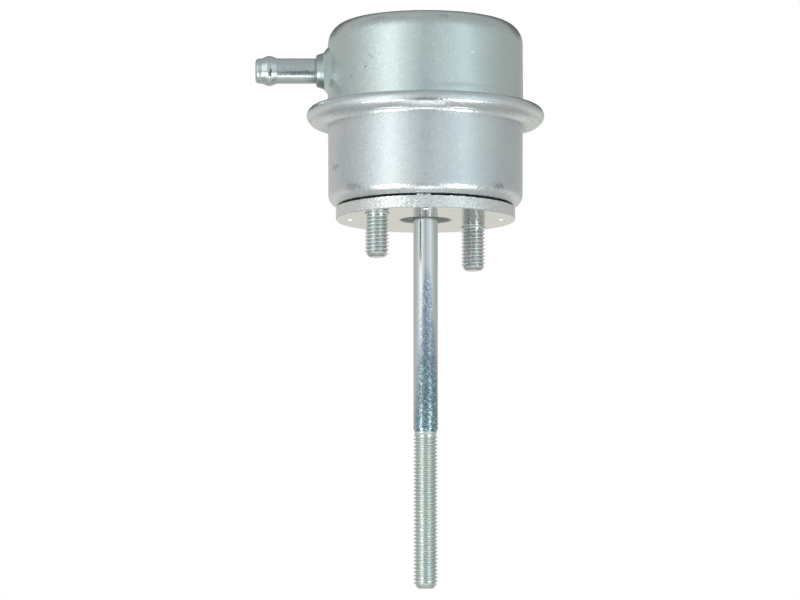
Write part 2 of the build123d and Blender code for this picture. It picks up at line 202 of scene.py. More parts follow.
def buildRoom(s):
    world = bpy.data.worlds.new("studioRoom")
    scene.world = world
    world.use_nodes = True
    t = world.node_tree
    t.nodes.clear()
    direction = node(t, "ShaderNodeTexCoord").outputs["Generated"]
    split = node(t, "ShaderNodeSeparateXYZ")
    feed(t, split.inputs[0], direction)
    x, y, z = split.outputs
    compass = maths(t, "ARCTAN2", x, maths(t, "MULTIPLY", y, -1.0))
    stops = [((azimuth + 180) / 360, colour) for azimuth, colour in s["level"]]
    level = ramp(t, maths(t, "ADD", maths(t, "DIVIDE", compass, 2 * math.pi), 0.5), stops)
    back = maths(t, "ADD", maths(t, "MULTIPLY", y, 0.5), 0.5)
    room = mixColour(t, mapRange(t, z, *s["ceilingFrom"]), level, ramp(t, back, s["above"], smooth=False))
    room = mixColour(t, mapRange(t, z, *s["groundFrom"]), room, ramp(t, back, s["below"], smooth=False))
    dark = s["darkBack"]
    behind = maths(t, "MULTIPLY", mapRange(t, y, *dark["behind"]), mapRange(t, z, *dark["over"]))
    room = vectorMaths(t, "SCALE", room, mapRange(t, behind, 0.0, 1.0, 1.0, dark["left"], "LINEAR"))
    shade = s["shade"]
    away = vectorMaths(t, "DISTANCE", direction, shade["toward"])
    dimmed = mapRange(t, away, shade["inner"], shade["outer"], shade["amount"], 0.0)
    room = mixColour(t, dimmed, room, shade["colour"])
    lit = vectorMaths(t, "SCALE", room, s["gain"])
    seen = node(t, "ShaderNodeLightPath").outputs["Is Camera Ray"]
    background = node(t, "ShaderNodeBackground")
    feed(t, background.inputs["Color"], mixColour(t, seen, lit, s["backdrop"]))
    output = node(t, "ShaderNodeOutputWorld")
    feed(t, output.inputs["Surface"], background.outputs[0])


def addSoftbox(b, aim, distance):
    data = bpy.data.lights.new(b["name"], "AREA")
    data.shape = "RECTANGLE"
    data.size, data.size_y = b["size"]
    data.energy = b["watts"]
    light = bpy.data.objects.new(b["name"], data)
    a, e = math.radians(b["azimuth"]), math.radians(b["elevation"])
    away = Vector((math.sin(a) * math.cos(e), -math.cos(a) * math.cos(e), math.sin(e)))
    light.location = Vector(aim) + away * distance
    light.rotation_mode = "QUATERNION"
    light.rotation_quaternion = (-away).to_track_quat("-Z", "Y")
    light.visible_camera = False
    scene.collection.objects.link(light)


def addFloor(f):
    bm = bmesh.new()
    bmesh.ops.create_circle(bm, cap_ends=True, segments=f["segments"], radius=f["radius"])
    bmesh.ops.translate(bm, verts=bm.verts, vec=(0, 0, f["height"]))
    mesh = bpy.data.meshes.new("paleFloor")
    bm.to_mesh(mesh)
    bm.free()
    material = bpy.data.materials.new("floorPaper")
    material.use_nodes = True
    t = material.node_tree
    shader = t.nodes["Principled BSDF"]
    shader.inputs["Roughness"].default_value = f["roughness"]
    fibre = noise(t, node(t, "ShaderNodeTexCoord").outputs["Object"], f["fibre"])
    low, high = f["fibreFrom"]
    darker = tuple(f["darker"] * v for v in f["colour"])
    feed(t, shader.inputs["Base Color"], ramp(t, fibre, ((low, darker), (high, f["colour"]))))
    mesh.materials.append(material)
    floor = bpy.data.objects.new("paleFloor", mesh)
    scene.collection.objects.link(floor)


buildRoom(studio)
for softbox in studio["softboxes"]:
    addSoftbox(softbox, studio["softboxAim"], studio["softboxDistance"])
addFloor(studio["floor"])
print("studio built")

floatSocket, colourSocket, vectorSocket = "NodeSocketFloat", "NodeSocketColor", "NodeSocketVector"
metreInMm = 1000.0

# where the shared effects set in, how fine they are and how they differ from each other
effect = {
    "sparkleFrom": 0.80, "driftScale": 0.8, "driftDetail": 3.0,
    "tintDetail": 3.0, "coolFrom": (0.40, 0.66), "warmFrom": (0.46, 0.70), "warmScale": 1.6,
    "warmApart": (0.37, 0.11, 0.53),
    "scuffs": ((0.5, 9.0), (-0.9, 12.0), (1.7, 7.0)), "scuffLean": 0.3, "scuffTwist": 0.7,
    "scuffEdge": 0.05, "ragDetail": 3.0,
}


def newGroup(name, inputs, outputs):
    group = bpy.data.node_groups.new(name, "ShaderNodeTree")
    for label, kind, value in inputs:
        socket = group.interface.new_socket(label, in_out="INPUT", socket_type=kind)
        if value is not None:
            socket.default_value = value
    for label, kind in outputs:
        group.interface.new_socket(label, in_out="OUTPUT", socket_type=kind)
    return group, node(group, "NodeGroupInput").outputs, node(group, "NodeGroupOutput").inputs


def buildGrain():
    # crystals of the plating: every cell leans its own way, over a slower orange peel
    g, i, o = newGroup("platingGrain", (
        ("Vector", vectorSocket, None), ("Normal", vectorSocket, None), ("Cell mm", floatSocket, 0.6),
        ("Tilt", floatSocket, 0.1), ("Peel mm", floatSocket, 3.0), ("Peel", floatSocket, 0.03)),
        (("Sparkle", floatSocket), ("Drift", floatSocket), ("Normal", vectorSocket)))
    cells = node(g, "ShaderNodeTexVoronoi")
    feed(g, cells.inputs["Vector"], i["Vector"])
    feed(g, cells.inputs["Scale"], maths(g, "DIVIDE", metreInMm, i["Cell mm"]))
    lean = vectorMaths(g, "SUBTRACT", cells.outputs["Color"], (0.5, 0.5, 0.5))
    slow = maths(g, "DIVIDE", metreInMm, i["Peel mm"])
    wave = vectorMaths(g, "SUBTRACT", noise(g, i["Vector"], slow, output="Color"), (0.5, 0.5, 0.5))
    turned = vectorMaths(g, "ADD", vectorMaths(g, "SCALE", lean, i["Tilt"]),
                         vectorMaths(g, "SCALE", wave, i["Peel"]))
    feed(g, o["Normal"], vectorMaths(g, "NORMALIZE", vectorMaths(g, "ADD", i["Normal"], turned)))
    split = node(g, "ShaderNodeSeparateXYZ")
    feed(g, split.inputs[0], cells.outputs["Color"])
    feed(g, o["Sparkle"], mapRange(g, split.outputs[0], effect["sparkleFrom"], 1.0))
    drift = maths(g, "MULTIPLY", slow, effect["driftScale"])
    feed(g, o["Drift"], noise(g, i["Vector"], drift, effect["driftDetail"]))
    return g


def buildTint():
    # slow drift of the passivation's colour between a base, a cool and a warm tone
    g, i, o = newGroup("passivationTint", (
        ("Vector", vectorSocket, None), ("Base", colourSocket, None), ("Cool", colourSocket, None),
        ("Warm", colourSocket, None), ("Patch mm", floatSocket, 16.0), ("Amount", floatSocket, 0.5)),
        (("Color", colourSocket),))
    scale = maths(g, "DIVIDE", metreInMm, i["Patch mm"])
    first = mapRange(g, noise(g, i["Vector"], scale, effect["tintDetail"]), *effect["coolFrom"])
    moved = vectorMaths(g, "ADD", i["Vector"], effect["warmApart"])
    finer = maths(g, "MULTIPLY", scale, effect["warmScale"])
    second = mapRange(g, noise(g, moved, finer, effect["tintDetail"]), *effect["warmFrom"])
    cool = mixColour(g, maths(g, "MULTIPLY", first, i["Amount"]), i["Base"], i["Cool"])
    feed(g, o["Color"], mixColour(g, maths(g, "MULTIPLY", second, i["Amount"]), cool, i["Warm"]))
    return g


def buildScuffs():
    # short thin handling marks, sparse and in three directions
    g, i, o = newGroup("handlingScuffs", (
        ("Vector", vectorSocket, None), ("Length mm", floatSocket, 3.0), ("Spread", floatSocket, 0.70)),
        (("Mask", floatSocket),))
    total = None
    for k, (turn, stretch) in enumerate(effect["scuffs"]):
        mapping = node(g, "ShaderNodeMapping")
        mapping.inputs["Rotation"].default_value = (effect["scuffLean"] * k, turn, effect["scuffTwist"] * k)
        mapping.inputs["Scale"].default_value = (1.0, stretch, stretch)
        feed(g, mapping.inputs["Vector"], i["Vector"])
        field = noise(g, mapping.outputs[0], maths(g, "DIVIDE", metreInMm, i["Length mm"]), 1.0)
        mark = mapRange(g, field, i["Spread"], maths(g, "ADD", i["Spread"], effect["scuffEdge"]))
        total = mark if total is None else maths(g, "MAXIMUM", total, mark)
    feed(g, o["Mask"], total)
    return g


def raggedReach(g, i, reach):
    # shared end of the two mark groups: breaks the outline up and softens it
    scale = maths(g, "DIVIDE", metreInMm, i["Rag mm"])
    ragged = maths(g, "SUBTRACT", noise(g, i["Vector"], scale, effect["ragDetail"]), 0.5)
    broken = maths(g, "ADD", reach, maths(g, "MULTIPLY", ragged, i["Raggedness"]))
    return mapRange(g, broken, maths(g, "SUBTRACT", 1.0, i["Softness"]), 1.0, 1.0, 0.0)


def buildMark():
    # one spot at a place on the part, turned about the axis that points to the back; it carries marks and
    # also painted highlights, reflections and shade
    g, i, o = newGroup("placedMarkAndPaintedLight", (
        ("Vector", vectorSocket, None), ("Place mm", vectorSocket, None), ("Size mm", vectorSocket, None),
        ("Turn", floatSocket, 0.0), ("Raggedness", floatSocket, 0.4), ("Rag mm", floatSocket, 1.1),
        ("Softness", floatSocket, 0.5)), (("Mask", floatSocket),))
    away = vectorMaths(g, "SUBTRACT", vectorMaths(g, "SCALE", i["Vector"], metreInMm), i["Place mm"])
    spin = node(g, "ShaderNodeVectorRotate", rotation_type="Y_AXIS")
    feed(g, spin.inputs["Vector"], away)
    feed(g, spin.inputs["Angle"], i["Turn"])
    reach = vectorMaths(g, "LENGTH", vectorMaths(g, "DIVIDE", spin.outputs[0], i["Size mm"]))
    feed(g, o["Mask"], raggedReach(g, i, reach))
    return g


def buildBelt():
    # a band along a circle about the part's axis, at a radius and a height; it carries marks and also painted
    # highlights and painted shade
    g, i, o = newGroup("beltMarksAndPaintedLight", (
        ("Vector", vectorSocket, None), ("Radius mm", floatSocket, 40.0), ("Height mm", floatSocket, 0.0),
        ("Across mm", floatSocket, 1.0), ("Up mm", floatSocket, 1.0), ("Raggedness", floatSocket, 0.4),
        ("Rag mm", floatSocket, 1.1), ("Softness", floatSocket, 0.7)), (("Mask", floatSocket),))
    inMm = node(g, "ShaderNodeSeparateXYZ")
    feed(g, inMm.inputs[0], vectorMaths(g, "SCALE", i["Vector"], metreInMm))
    x, y, z = inMm.outputs
    outwards = maths(g, "SUBTRACT", hypotenuse(g, x, y), i["Radius mm"])
    across = maths(g, "DIVIDE", outwards, i["Across mm"])
    up = maths(g, "DIVIDE", maths(g, "SUBTRACT", z, i["Height mm"]), i["Up mm"])
    feed(g, o["Mask"], raggedReach(g, i, hypotenuse(g, across, up)))
    return g


groups = {
    "grain": buildGrain(), "tint": buildTint(), "scuffs": buildScuffs(),
    "mark": buildMark(), "belt": buildBelt(),
}
print("shader groups built")


def place(tree, kind, **values):
    made = node(tree, "ShaderNodeGroup", node_tree=groups[kind])
    for key, value in values.items():
        feed(tree, made.inputs[key.replace("_", " ")], value)
    return made.outputs


# what every finish starts from; each one below changes what it needs
plated = {
    "cool": 0.90, "warm": 1.05, "patch": 20.0, "drift": 0.5, "cell": 0.50, "tilt": 0.09,
    "peelSize": 2.6, "peel": 0.015, "bright": (0.86, 0.91, 0.91), "sparkle": 0.25,
    "dark": (0.24, 0.26, 0.27), "scuffs": 0.22, "scuffLength": 3.0, "scuffSpread": 0.74,
    "rough": 0.29, "roughSpread": 0.04, "roughFrom": (0.3, 0.7), "metallic": 1.0,
    "marks": (), "belts": (), "groove": None, "bloom": None,
}
# what red, green and blue gain or lose in the cool and the warm tone
coolShift, warmShift = (0.0, 0.04, 0.07), (0.0, -0.05, -0.09)
markShape = {"turn": 0, "ragged": 0.4, "rag": 1.1, "soft": 0.5}
beltShape = {"ragged": 0.4, "rag": 1.1, "soft": 0.7}


def shifted(base, share, shift):
    return (*(v * (share + step) for v, step in zip(base, shift)), 1)


def spotMasks(t, where, f):
    # every belt, mark and groove of a finish, with the mask that says where it lies
    for belt in f["belts"]:
        b = dict(beltShape, **belt)
        made = place(t, "belt", Vector=where, Radius_mm=b["at"][0], Height_mm=b["at"][1],
                     Across_mm=b["size"][0], Up_mm=b["size"][1],
                     Raggedness=b["ragged"], Rag_mm=b["rag"], Softness=b["soft"])
        yield b, made["Mask"]
    for mark in f["marks"]:
        m = dict(markShape, **mark)
        made = place(t, "mark", Vector=where, Place_mm=m["at"], Size_mm=m["size"],
                     Turn=math.radians(m["turn"]),
                     Raggedness=m["ragged"], Rag_mm=m["rag"], Softness=m["soft"])
        yield m, made["Mask"]
    # the groove mask carries painted shade into the roots of a thread
    if f["groove"]:
        groove = node(t, "ShaderNodeAttribute", attribute_name="groove").outputs["Fac"]
        yield f["groove"], mapRange(t, groove, *f["groove"]["from"])


def bloom(t, where, colour, b):
    # painted reflection: a blue, speckled band, darker lower down, that widens down the rod's front like a
    # wedge
    inMm = node(t, "ShaderNodeSeparateXYZ")
    feed(t, inMm.inputs[0], vectorMaths(t, "SCALE", where, metreInMm))
    x, y, z = inMm.outputs
    down = maths(t, "DIVIDE", maths(t, "SUBTRACT", b["top"], z), b["length"], clamp=True)
    reach = mapRange(t, down, 0.0, 1.0, b["narrow"], b["wide"], "LINEAR")
    uneven = maths(t, "SUBTRACT", noise(t, where, b["ragScale"], effect["ragDetail"]), 0.5)
    aside = maths(t, "ABSOLUTE", maths(t, "SUBTRACT", x, b["centre"]))
    aside = maths(t, "ADD", aside, maths(t, "MULTIPLY", uneven, b["raggedness"]))
    inside = mapRange(t, maths(t, "DIVIDE", aside, reach), *b["edge"], 1.0, 0.0)
    front = mapRange(t, y, *b["front"], 1.0, 0.0)
    mask = product(t, inside, front, mapRange(t, down, 0.0, b["start"]), b["amount"])
    cells = node(t, "ShaderNodeTexVoronoi")
    feed(t, cells.inputs["Vector"], where)
    feed(t, cells.inputs["Scale"], b["speckleScale"])
    pick = node(t, "ShaderNodeSeparateXYZ")
    feed(t, pick.inputs[0], cells.outputs["Color"])
    upper = ramp(t, pick.outputs[0], b["high"])
    lower = ramp(t, pick.outputs[1], b["low"])
    return mixColour(t, mask, colour, mixColour(t, mapRange(t, down, *b["lowFrom"]), upper, lower))


def finish(name, **changes):
    f = dict(plated, **changes)
    material = bpy.data.materials.new(name)
    material.use_nodes = True
    t = material.node_tree
    shader = t.nodes["Principled BSDF"]
    where = node(t, "ShaderNodeTexCoord").outputs["Object"]
    facing = node(t, "ShaderNodeNewGeometry").outputs["Normal"]
    cool = shifted(f["base"], f["cool"], coolShift)
    warm = shifted(f["base"], f["warm"], warmShift)
    colour = place(t, "tint", Vector=where, Base=(*f["base"], 1), Cool=cool, Warm=warm,
                   Patch_mm=f["patch"], Amount=f["drift"])["Color"]
    grain = place(t, "grain", Vector=where, Normal=facing, Cell_mm=f["cell"], Peel_mm=f["peelSize"],
                  Peel=f["peel"])
    colour = mixColour(t, maths(t, "MULTIPLY", grain["Sparkle"], f["sparkle"]), colour, f["bright"])
    scuffs = place(t, "scuffs", Vector=where, Length_mm=f["scuffLength"], Spread=f["scuffSpread"])["Mask"]
    colour = mixColour(t, maths(t, "MULTIPLY", scuffs, f["scuffs"]), colour, f["dark"])
    smoothest, roughest = f["rough"] - f["roughSpread"], f["rough"] + f["roughSpread"]
    roughness = mapRange(t, grain["Drift"], *f["roughFrom"], smoothest, roughest, "LINEAR")
    tilt = f["tilt"]
    for spot, mask in spotMasks(t, where, f):
        if "colour" in spot:
            colour = mixColour(t, maths(t, "MULTIPLY", mask, spot["amount"]), colour, spot["colour"])
        if "rough" in spot:
            change = maths(t, "SUBTRACT", spot["rough"], roughness)
            roughness = maths(t, "ADD", roughness, maths(t, "MULTIPLY", mask, change))
        if "tilt" in spot:
            change = maths(t, "SUBTRACT", spot["tilt"], tilt)
            tilt = maths(t, "ADD", tilt, maths(t, "MULTIPLY", mask, change))
    # the painted reflection down the rod's front
    if f["bloom"]:
        colour = bloom(t, where, colour, f["bloom"])
    feed(t, grain["Normal"].node.inputs["Tilt"], tilt)
    feed(t, shader.inputs["Base Color"], colour)
    feed(t, shader.inputs["Roughness"], roughness)
    feed(t, shader.inputs["Normal"], grain["Normal"])
    shader.inputs["Metallic"].default_value = f["metallic"]
    return material


canGrey = (0.585, 0.66, 0.65)
upperZinc = finish(
    "upperCanZinc", base=canGrey, patch=24.0, drift=0.55,
    belts=(
        {"at": (38.0, 76.2), "size": (5.0, 2.6), "colour": (0.52, 0.50, 0.52), "amount": 0.30,
         "ragged": 1.6, "rag": 7.0},
    ),
    marks=(
        {"at": (-24.4, -31.8, 58.1), "size": (0.95, 2.0, 0.28), "turn": 12,
         "colour": (0.10, 0.11, 0.12), "amount": 0.75},
        {"at": (-22.2, -33.3, 62.2), "size": (0.22, 2.0, 2.0), "turn": 50, "colour": (0.22, 0.24, 0.25),
         "amount": 0.7},
        {"at": (-30.3, -26.1, 55.2), "size": (0.4, 1.5, 0.6), "turn": 20, "colour": (0.18, 0.20, 0.21),
         "amount": 0.7},
        {"at": (-28.7, -27.9, 58.0), "size": (0.6, 1.5, 0.3), "colour": (0.25, 0.27, 0.28), "amount": 0.6},
        {"at": (19.1, -35.2, 63.5), "size": (1.3, 2.0, 0.5), "turn": -15, "colour": (0.85, 0.92, 0.92),
         "amount": 0.5},
        {"at": (-4.0, -35.4, 78.0), "size": (4.0, 4.0, 1.1), "colour": (0.90, 0.72, 0.72),
         "amount": 0.55, "ragged": 1.6},
        {"at": (7.0, -35.3, 78.1), "size": (3.6, 4.0, 1.0), "colour": (0.44, 0.36, 0.44),
         "amount": 0.50, "ragged": 1.6},
        {"at": (-17.5, -31.4, 77.7), "size": (4.6, 4.0, 1.2), "colour": (0.40, 0.39, 0.40),
         "amount": 0.50, "ragged": 1.6},
        {"at": (-10.2, -35.0, 77.8), "size": (0.8, 2.0, 0.35), "colour": (0.98, 1.0, 1.0), "amount": 0.8},
        {"at": (11.9, -35.0, 76.6), "size": (1.0, 2.0, 0.4), "turn": 15, "colour": (0.98, 1.0, 1.0),
         "amount": 0.8},
        {"at": (-37.0, -18.0, 61.0), "size": (9.5, 15.0, 13.0), "tilt": 0.015, "rough": 0.37, "soft": 0.5},
        # painted shade: a darker patch on the wall's flare below the nipple, which dims its highlight
        {"at": (-37.5, -20.5, 53.0), "size": (7.0, 12.0, 7.0), "colour": (0.42, 0.50, 0.50),
         "amount": 0.45, "tilt": 0.02, "soft": 0.7},
        # painted shade: a darker arch on the wall just above the flange
        {"at": (14.0, -37.5, 49.9), "size": (17.0, 9.0, 1.5), "turn": 2, "colour": (0.38, 0.44, 0.43),
         "amount": 0.45, "soft": 0.9},
    ))
lowerZinc = finish(
    "lowerCanZinc", base=(0.645, 0.685, 0.70), sparkle=0.3,
    belts=(
        # painted highlight: a light line along the flange's ridge
        {"at": (48.4, 42.6), "size": (1.6, 0.9), "colour": (0.93, 0.95, 0.95), "amount": 0.3,
         "tilt": 0.14, "ragged": 0.8},
        # painted shade: a darker, lavender band on the flange's lower facet
        {"at": (46.9, 40.4), "size": (1.6, 1.0), "colour": (0.46, 0.44, 0.48), "amount": 0.45,
         "ragged": 0.6},
        # painted highlight: lighter colour in the bend where the flange meets the wall
        {"at": (40.6, 39.6), "size": (1.6, 1.6), "tilt": 0.11, "colour": (0.86, 0.89, 0.90),
         "amount": 0.25},
        # painted highlight: lighter colour round the can's bottom corner
        {"at": (38.5, 8.6), "size": (2.6, 2.8), "tilt": 0.12, "colour": (0.84, 0.87, 0.90),
         "amount": 0.25, "ragged": 0.9},
    ),
    marks=(
        {"at": (-29.1, -26.4, 10.1), "size": (6.6, 5.0, 2.9), "turn": -6, "colour": (0.28, 0.26, 0.31),
         "amount": 0.55, "ragged": 1.7, "rag": 1.5, "soft": 0.85},
        {"at": (-36.9, -15.0, 19.5), "size": (2.8, 6.0, 1.8), "colour": (0.32, 0.31, 0.34),
         "amount": 0.50, "ragged": 1.9, "rag": 1.5, "soft": 0.6},
        {"at": (29.7, -25.7, 10.2), "size": (6.0, 5.0, 2.2), "turn": 8, "colour": (0.25, 0.25, 0.30),
         "amount": 0.60, "ragged": 1.7, "rag": 1.3, "soft": 0.85},
        # painted reflection: a dark patch in the middle of the flange's ridge at the front
        {"at": (0.0, -48.3, 42.0), "size": (11.0, 5.0, 1.7), "colour": (0.30, 0.31, 0.33),
         "amount": 0.75, "ragged": 0.5, "soft": 0.9},
        {"at": (-17.2, -35.9, 32.7), "size": (0.3, 1.5, 0.3), "colour": (0.18, 0.19, 0.20), "amount": 0.8},
        {"at": (-16.2, -36.4, 23.2), "size": (0.35, 1.5, 0.25), "colour": (1.0, 1.0, 1.0), "amount": 0.8},
        {"at": (13.9, -37.4, 25.1), "size": (0.3, 1.5, 0.3), "colour": (1.0, 1.0, 1.0), "amount": 0.8},
    ))
# the four punched dimples on the plate's underside; the three in front get painted highlights, white and
# rougher, and the rear one none
dimple = {"circle": 30.9, "radius": 1.93, "shallowest": 0.005, "deepest": 1.05, "steeper": 1.6}
paintedDimpleHighlights = tuple(
    {"at": (x * dimple["circle"], y * dimple["circle"], 1.3), "size": (5.0, 5.0, 1.25),
     "colour": (1.0, 1.0, 1.0), "amount": 0.9, "rough": 0.42, "ragged": 0.0, "soft": 0.1}
    for x, y in ((-1, 0), (1, 0), (0, -1)))
plateZinc = finish(
    "plateZinc", base=(0.65, 0.65, 0.615), cell=0.50, tilt=0.003, rough=0.14, peel=0.003, sparkle=0.08,
    belts=(
        {"at": (36.6, 2.5), "size": (0.6, 5.5), "tilt": 0.34, "colour": (0.86, 0.88, 0.88),
         "amount": 0.7, "rough": 0.24, "soft": 0.2},
        {"at": (36.6, 0.0), "size": (0.35, 0.35), "colour": (0.30, 0.31, 0.31), "amount": 0.5,
         "ragged": 1.2, "rag": 6.0},
        {"at": (10.2, 2.5), "size": (0.7, 8.0), "colour": (0.66, 0.68, 0.68), "amount": 0.9,
         "rough": 0.60, "ragged": 0.1, "soft": 0.2},
    ),
    marks=(
        *paintedDimpleHighlights,
        # painted shadow: a dark ring in the gap round the base of each stud
        {"at": (-19.73, -20.43, 0.0), "size": (5.5, 5.5, 0.4), "colour": (0.06, 0.07, 0.07),
         "amount": 0.85, "ragged": 0.15, "soft": 0.1},
        {"at": (19.73, 20.43, 0.0), "size": (5.6, 5.6, 0.4), "colour": (0.06, 0.07, 0.07),
         "amount": 0.85, "ragged": 0.15, "soft": 0.1},
        {"at": (11.5, -27.7, 0.0), "size": (3.0, 0.9, 0.5), "colour": (0.22, 0.23, 0.23), "amount": 0.7,
         "ragged": 0.3, "soft": 0.6},
    ))
nippleZinc = finish(
    "nippleZinc", base=(0.56, 0.60, 0.60), cell=0.40, tilt=0.03, rough=0.25,
    peelSize=1.6, peel=0.05, sparkle=0.2,
    marks=(
        # painted reflection: a ragged dark blue band along the nipple's front
        {"at": (-50.4, -5.1, 60.3), "size": (9.0, 1.6, 0.95), "colour": (0.14, 0.16, 0.22), "amount": 0.55,
         "ragged": 3.2, "rag": 0.6, "soft": 0.35},
        {"at": (-63.2, -5.6, 60.0), "size": (0.5, 2.0, 1.9), "colour": (0.05, 0.06, 0.07), "amount": 0.85,
         "ragged": 1.5, "rag": 0.9, "soft": 0.3},
        # painted shade: the whole collar darker, which dims its highlight; it is also rougher
        {"at": (-43.2, -2.0, 61.7), "size": (3.0, 14.0, 14.0), "colour": (0.30, 0.35, 0.35),
         "amount": 0.85, "rough": 0.36},
        {"at": (-42.4, -4.6, 57.6), "size": (1.9, 5.0, 3.4), "colour": (0.16, 0.22, 0.24), "amount": 0.7,
         "rough": 0.45, "ragged": 1.4, "rag": 1.0},
    ))
brazeZinc = finish(
    "brazeZinc", base=(0.60, 0.72, 0.73), cell=0.5, tilt=0.15, rough=0.3, peelSize=1.2, peel=0.12)
rodZinc = finish(
    "rodZinc", base=(0.68, 0.70, 0.70), cell=0.45, tilt=0.05, rough=0.22,
    peelSize=5.0, peel=0.012, sparkle=0.15,
    marks=(
        {"at": (0.0, 0.0, -2.0), "size": (14.0, 14.0, 13.0), "rough": 0.08, "tilt": 0.008,
         "ragged": 0.0, "soft": 0.5},
        {"at": (1.3, -4.8, -84.4), "size": (0.28, 1.0, 1.5), "colour": (1.0, 1.0, 1.0), "amount": 0.9},
        {"at": (-0.7, -4.9, -85.7), "size": (0.5, 1.0, 0.7), "colour": (0.45, 0.36, 0.52), "amount": 0.6},
    ),
    # painted reflection: a dark blue band down the rod's front
    bloom={
        "top": -17.0, "length": 68.5, "start": 0.16, "narrow": 1.2, "wide": 6.0, "centre": 0.7,
        "edge": (0.55, 1.15), "front": (-2.6, -0.4), "ragScale": 600.0, "raggedness": 1.6, "amount": 0.95,
        "speckleScale": 2100.0, "lowFrom": (0.2, 0.75),
        "high": (
            (0.0, (0.24, 0.27, 0.36)), (0.45, (0.35, 0.41, 0.51)), (0.8, (0.46, 0.54, 0.64)),
            (1.0, (0.80, 0.88, 0.95)),
        ),
        "low": (
            (0.0, (0.09, 0.15, 0.17)), (0.45, (0.18, 0.28, 0.32)), (0.8, (0.27, 0.42, 0.48)),
            (1.0, (0.60, 0.75, 0.82)),
        ),
    })
# the groove colour is painted shade, darker towards the roots of the thread
rodThreadZinc = finish(
    "rodThreadZinc", base=(0.74, 0.79, 0.76), cell=0.4, tilt=0.02, rough=0.30,
    peelSize=1.2, peel=0.03, sparkle=0.1,
    groove={"from": (0.60, 1.0), "colour": (0.45, 0.49, 0.47), "amount": 0.5})
# the groove colour is painted shade, darker towards the roots of the thread
studZinc = finish(
    "studZinc", base=(0.82, 0.86, 0.85), cell=0.4, tilt=0.03, rough=0.27,
    peelSize=1.4, peel=0.04, sparkle=0.15,
    groove={"from": (0.60, 1.0), "colour": (0.22, 0.24, 0.24), "amount": 0.55})
innerZinc = finish("innerZinc", base=(0.60, 0.61, 0.60), rough=0.34, tilt=0.08, patch=12.0)
springSteel = finish("springSteel", base=(0.30, 0.30, 0.31), cell=0.5, tilt=0.3, rough=0.42, sparkle=0.1)
bushBronze = finish(
    "bushBronze", base=(0.50, 0.38, 0.22), cell=0.3, tilt=0.2, rough=0.45, bright=(0.75, 0.6, 0.4))
diaphragmRubber = finish(
    "diaphragmRubber", base=(0.035, 0.035, 0.037), metallic=0.0, rough=0.62, cell=0.5, tilt=0.25,
    sparkle=0.05, bright=(0.10, 0.10, 0.10), dark=(0.015, 0.015, 0.015))
sealRubber = finish(
    "sealRubber", base=(0.045, 0.045, 0.048), metallic=0.0, rough=0.5, cell=0.3, tilt=0.15,
    sparkle=0.05, bright=(0.16, 0.16, 0.17), dark=(0.02, 0.02, 0.02))
print("finishes built")


# in millimetres: points nearer than weld become one, and edges shorter than thin go
cadSeam = {"weld": 0.002, "thin": 0.0005}
builtSeam = {"weld": 0.004, "thin": 0.002}
# edges stay sharp from this angle on
sharpFrom = math.radians(32)


def closeSeams(bm, seam):
    bmesh.ops.remove_doubles(bm, verts=bm.verts, dist=seam["weld"] * mm)
    bmesh.ops.dissolve_degenerate(bm, edges=bm.edges, dist=seam["thin"] * mm)


def shadeSmooth(bm):
    for face in bm.faces:
        face.smooth = True
    for edge in bm.edges:
        edge.smooth = len(edge.link_faces) == 2 and edge.calc_face_angle() < sharpFrom


def addPiece(bm, name, materials, body, slot, nodeName=None):
    mesh = bpy.data.meshes.new(name)
    bm.to_mesh(mesh)
    bm.free()
    for material in materials:
        mesh.materials.append(material)
    piece = bpy.data.objects.new(name, mesh)
    scene.collection.objects.link(piece)
    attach(piece, body)
    if nodeName:
        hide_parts(nodeName)
    return piece


def weldedCopy(nodeName, pieceName, material, body, slot, reshape=None):
    # the CAD node's faces made into one smooth skin, with its sharp edges kept
    bm = bmesh.new()
    bm.from_mesh(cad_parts[nodeName].data)
    closeSeams(bm, cadSeam)
    if reshape:
        reshape(bm)
    shadeSmooth(bm)
    return addPiece(bm, pieceName, (material,), body, slot, nodeName)


def steepenDimples(bm):
    # makes the dimples steeper at the rim than in the CAD
    d = dimple
    for vertex in bm.verts:
        x, y, z = vertex.co / mm
        for cx, cy in ((1, 0), (0, 1), (-1, 0), (0, -1)):
            near = math.hypot(x - cx * d["circle"], y - cy * d["circle"]) < d["radius"]
            if near and d["shallowest"] < z < d["deepest"]:
                vertex.co.z *= d["steeper"]


weldedCopy("upper_can", "upperCan", upperZinc, "casing", "can_zinc")
weldedCopy("lower_can", "lowerCan", lowerZinc, "casing", "can_zinc")
weldedCopy("hose_nipple", "hoseNipple", nippleZinc, "casing", "nipple_zinc")
weldedCopy("mounting_plate", "mountingPlate", plateZinc, "casing", "plate_zinc", steepenDimples)
print("cans, nipple and plate dressed")

# M10 coarse; rootFlat and crestFlat are shares of the pitch, and turnsAhead keeps the turns positive
thread = {
    "pitch": 1.5, "depth": 0.92, "rootFlat": 0.25, "crestFlat": 0.125,
    "rowsPerPitch": 16, "segments": 64, "turnsAhead": 100.0,
}
# radius and height from the neck over the shoulder and the shank to the riveted head
rod = {
    "end": -150.7, "top": -87.2, "crest": 4.925, "neck": 4.51, "fade": 2.2,
    "point": 2.2, "pointWidth": 2.1, "pointRound": 0.75,
    "outline": (
        (4.51, -86.95), (4.56, -86.75), (4.92, -86.2), (5.0, -85.95), (5.0, 67.9), (4.0, 67.9),
        (4.0, 77.5), (6.2, 77.5), (6.2, 78.7), (5.2, 79.7), (0, 79.7),
    ),
}
# the same from the neck through the plate to the flush head
stud = {
    "end": -18.0, "top": -0.6, "crest": 4.925, "neck": 4.51, "fade": 0.6,
    "point": 1.7, "pointWidth": 2.0, "pointRound": 0.9,
    "outline": ((4.51, 0.6), (5.1, 0.6), (5.1, 2.5), (7.5, 2.5), (7.5, 5.0), (0, 5.0)),
}


